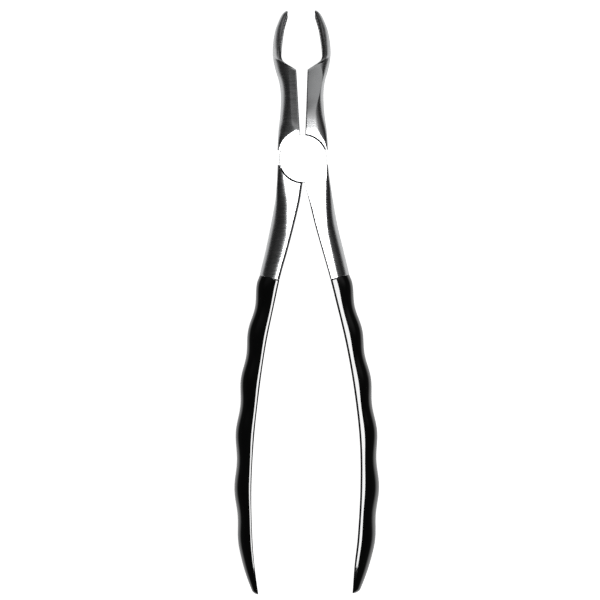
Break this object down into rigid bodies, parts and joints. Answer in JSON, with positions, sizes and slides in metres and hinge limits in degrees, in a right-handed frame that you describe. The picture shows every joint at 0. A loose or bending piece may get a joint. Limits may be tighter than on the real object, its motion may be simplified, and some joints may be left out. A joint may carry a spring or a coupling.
{
  "type": "extraction forceps",
  "caption": "Dental extraction forceps with curved spoon-shaped beaks, a screwed lap joint and black moulded finger grips, drawn half open.",
  "frame": {"origin": "on the joint axis, at the flat back face of the joint", "axes": "+X to the right seen from the front, +Y from the joint towards the beak tips, +Z along the joint axis towards the front face"},
  "size_m": [0.0427, 0.1723, 0.0215],
  "materials": {
    "forged_steel": "satin ground stainless steel",
    "screw_steel": "fine turned stainless steel",
    "black_grip": "smooth gloss black moulding"
  },
  "bodies": {
    "front_lever": {"front_half": "forged_steel", "joint_screw": "screw_steel", "front_grip": "black_grip"},
    "rear_lever": {"rear_half": "forged_steel", "rear_grip": "black_grip"}
  },
  "joints": [
    {"name": "forceps_hinge", "type": "hinge", "parent": "front_lever", "child": "rear_lever", "pos_m": [0, 0, 0.0047], "axis": [0, 0, 1], "range_deg": [-28, 5]}
  ]
}
